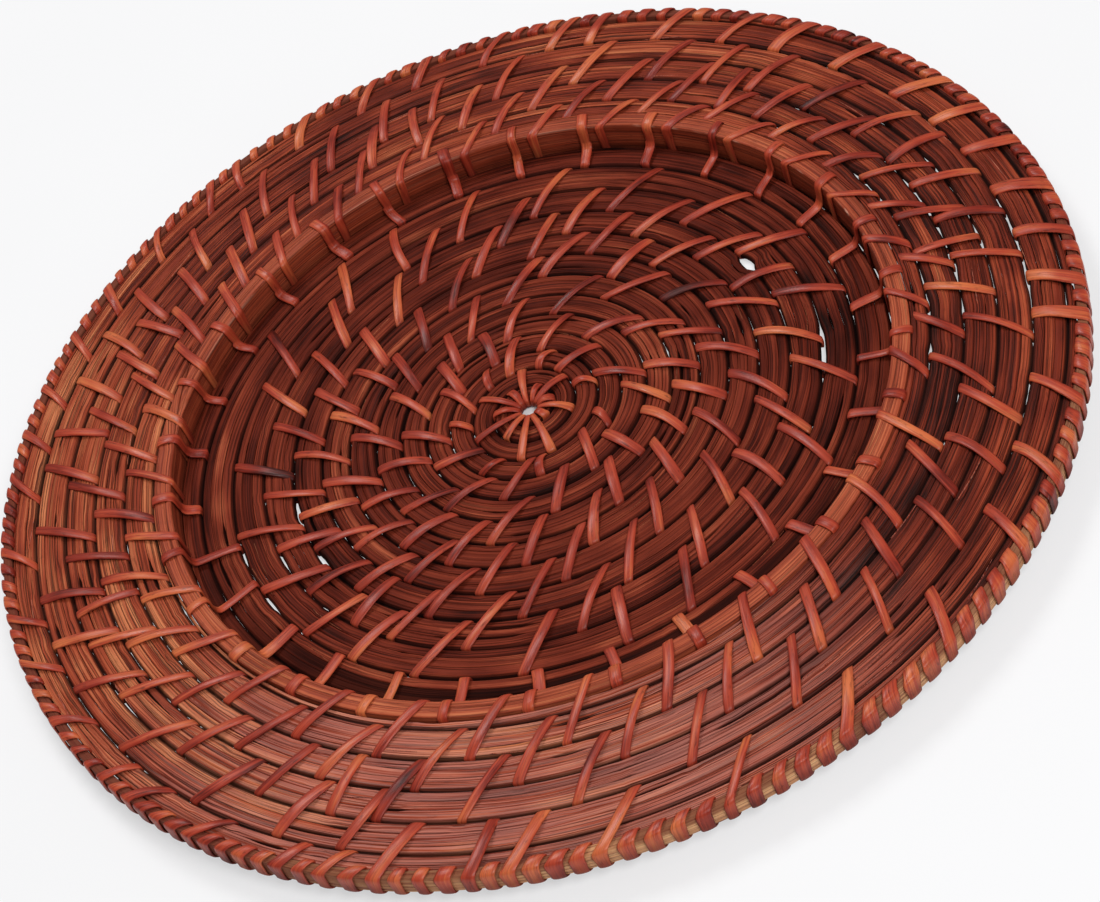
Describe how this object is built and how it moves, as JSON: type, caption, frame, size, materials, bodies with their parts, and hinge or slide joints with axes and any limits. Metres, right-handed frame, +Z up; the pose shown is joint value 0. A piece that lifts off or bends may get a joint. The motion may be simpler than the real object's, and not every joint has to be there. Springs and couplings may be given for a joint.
{
  "type": "charger plate",
  "caption": "Round coiled cane charger plate with a flat well, an upright step hoop and a raised flat rim with a bound edge, all laced with strips of cane.",
  "frame": {"origin": "centre of the plate on the table it stands on", "axes": "+Z up, towards the plate that is set in the well; -Y towards the viewer of the picture"},
  "size_m": [0.33, 0.33, 0.0135],
  "materials": {
    "well_cane": "satin red-brown stain on split cane",
    "rim_cane": "satin red-brown stain on split cane",
    "hoop_wood": "smooth satin red-orange stain",
    "edge_wood": "pale bare wood under the binding",
    "lacing_cane": "glossy red-orange stain on the outer skin of the cane"
  },
  "bodies": {
    "root": {"well_splint_inner": "well_cane", "well_splint_middle": "well_cane", "well_splint_outer": "well_cane", "rim_splint_inner": "rim_cane", "rim_splint_middle": "rim_cane", "rim_splint_outer": "rim_cane", "step_hoop": "hoop_wood", "edge_hoop": "edge_wood", "well_lacing_1": "lacing_cane", "well_lacing_2": "lacing_cane", "well_lacing_3": "lacing_cane", "well_lacing_4": "lacing_cane", "well_lacing_5": "lacing_cane", "well_lacing_6": "lacing_cane", "well_lacing_7": "lacing_cane", "well_lacing_8": "lacing_cane", "well_lacing_9": "lacing_cane", "well_lacing_10": "lacing_cane", "well_lacing_11": "lacing_cane", "hoop_lacing": "lacing_cane", "step_lacing": "lacing_cane", "rim_lacing_1": "lacing_cane", "rim_lacing_2": "lacing_cane", "rim_lacing_3": "lacing_cane", "edge_lacing": "lacing_cane", "edge_wrap": "lacing_cane"}
  },
  "joints": []
}
